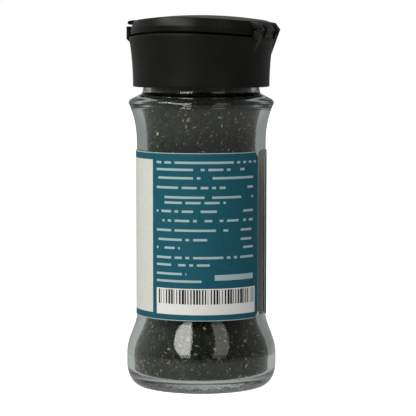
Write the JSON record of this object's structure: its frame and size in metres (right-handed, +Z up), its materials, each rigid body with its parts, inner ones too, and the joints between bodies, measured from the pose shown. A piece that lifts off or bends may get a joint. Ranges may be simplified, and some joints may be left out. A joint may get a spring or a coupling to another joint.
{
  "type": "wakame flakes in a glass spice jar",
  "caption": "Glass spice jar with a narrow waist, filled with dried wakame flakes, wrapped in a teal paper label and closed by a black flip-top sifter cap.",
  "frame": {"origin": "on the jar's axis, in the plane that the jar stands on", "axes": "+Z up along the jar's axis; -Y towards the thumb lip and the front of the label; +Y towards the lid's hinge and the label's seam; +X to the right of someone who faces the front"},
  "size_m": [0.046, 0.046, 0.1138],
  "materials": {
    "clear_glass": "polished",
    "printed_paper": "satin",
    "dried_wakame": "matte",
    "black_plastic": "satin"
  },
  "bodies": {
    "jar": {"glass_jar": "clear_glass", "label": "printed_paper", "wakame_flakes": "dried_wakame", "cap_body": "black_plastic"},
    "lid": {"lid": "black_plastic"}
  },
  "joints": [
    {"name": "lid_hinge", "type": "hinge", "parent": "jar", "child": "lid", "pos_m": [0, 0.02283, 0.10935], "axis": [-1, 0, 0], "range_deg": [0, 180]}
  ]
}
